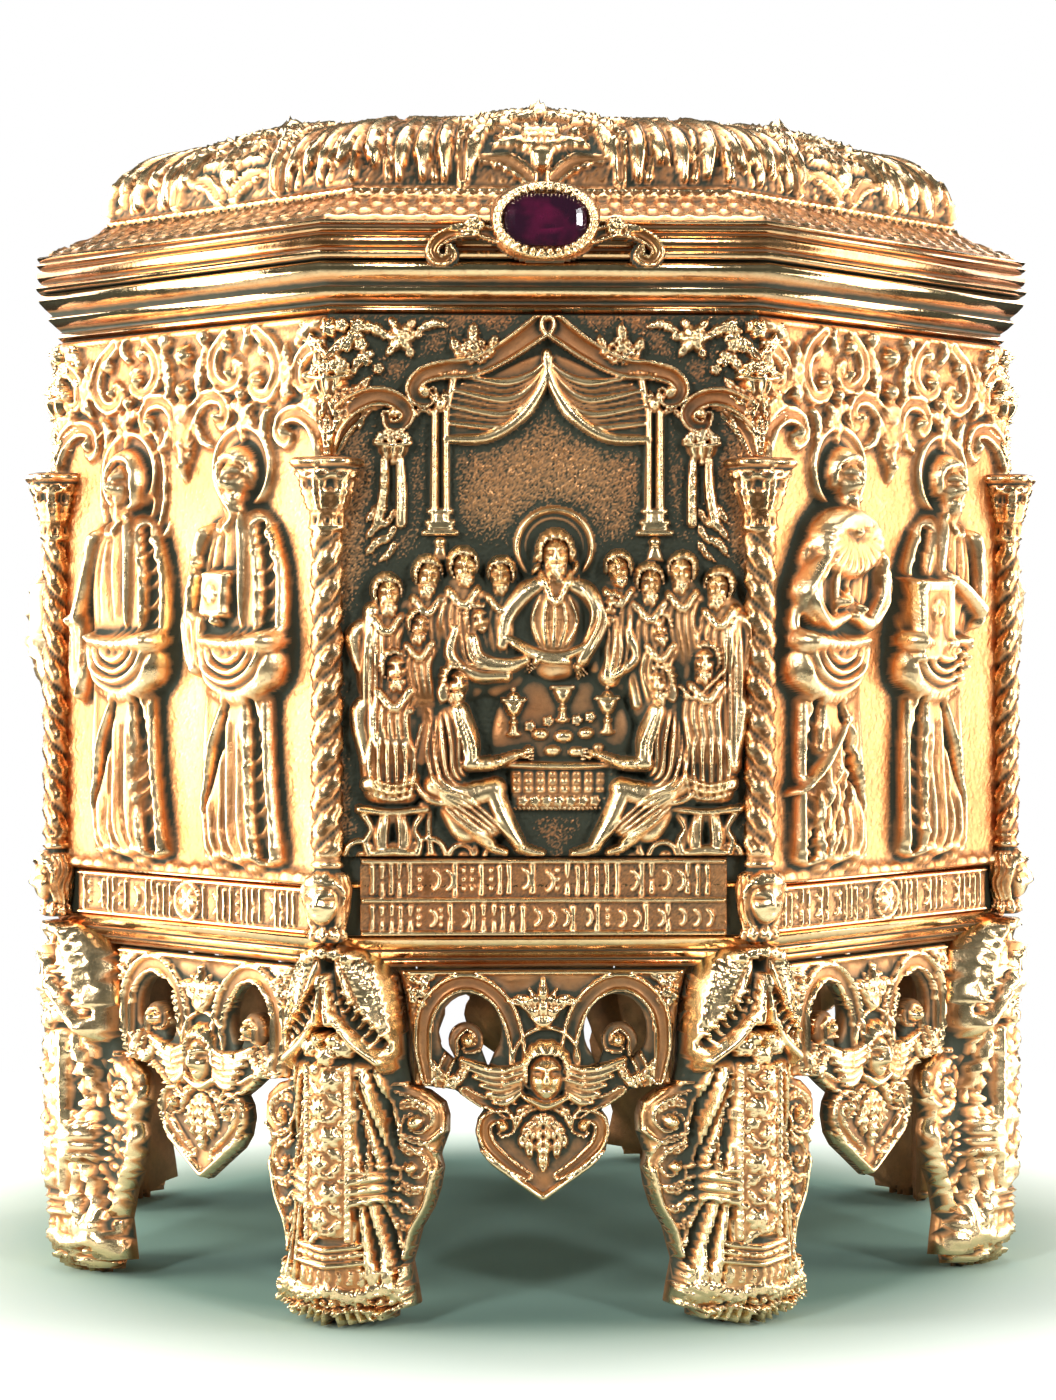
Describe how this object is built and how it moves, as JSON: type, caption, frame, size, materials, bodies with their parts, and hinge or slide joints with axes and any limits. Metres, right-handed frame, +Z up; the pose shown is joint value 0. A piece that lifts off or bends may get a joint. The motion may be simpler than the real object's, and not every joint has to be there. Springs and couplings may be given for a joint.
{
  "type": "reliquary casket",
  "caption": "Octagonal silver-gilt reliquary casket with relief panels, spiral corner columns, angel legs and a gadrooned lift-off lid set with a dark stone.",
  "frame": {"origin": "on the ground under the middle of the octagon", "axes": "+Z up, -Y is the face with the supper scene and the stone, +X to the right of that face"},
  "size_m": [0.2176, 0.2209, 0.246],
  "materials": {
    "gilt": "old silver gilt, worn copper-warm in the middle tones, with a dark green-black patina in the hollows",
    "stone": "polished step-cut dark purple stone, see-through at the middle"
  },
  "bodies": {
    "root": {"casket_body": "gilt", "lid": "gilt", "gem_bezel": "gilt", "gem_stone": "stone", "column_1": "gilt", "leg_angel_1": "gilt", "apron_1": "gilt", "panel_front": "gilt", "column_2": "gilt", "leg_angel_2": "gilt", "apron_2": "gilt", "panel_2": "gilt", "column_3": "gilt", "leg_angel_3": "gilt", "apron_3": "gilt", "panel_3": "gilt", "column_4": "gilt", "leg_angel_4": "gilt", "apron_4": "gilt", "panel_4": "gilt", "column_5": "gilt", "leg_angel_5": "gilt", "apron_5": "gilt", "panel_5": "gilt", "column_6": "gilt", "leg_angel_6": "gilt", "apron_6": "gilt", "panel_6": "gilt", "column_7": "gilt", "leg_angel_7": "gilt", "apron_7": "gilt", "panel_7": "gilt", "column_8": "gilt", "leg_angel_8": "gilt", "apron_8": "gilt", "panel_8": "gilt"}
  },
  "joints": []
}
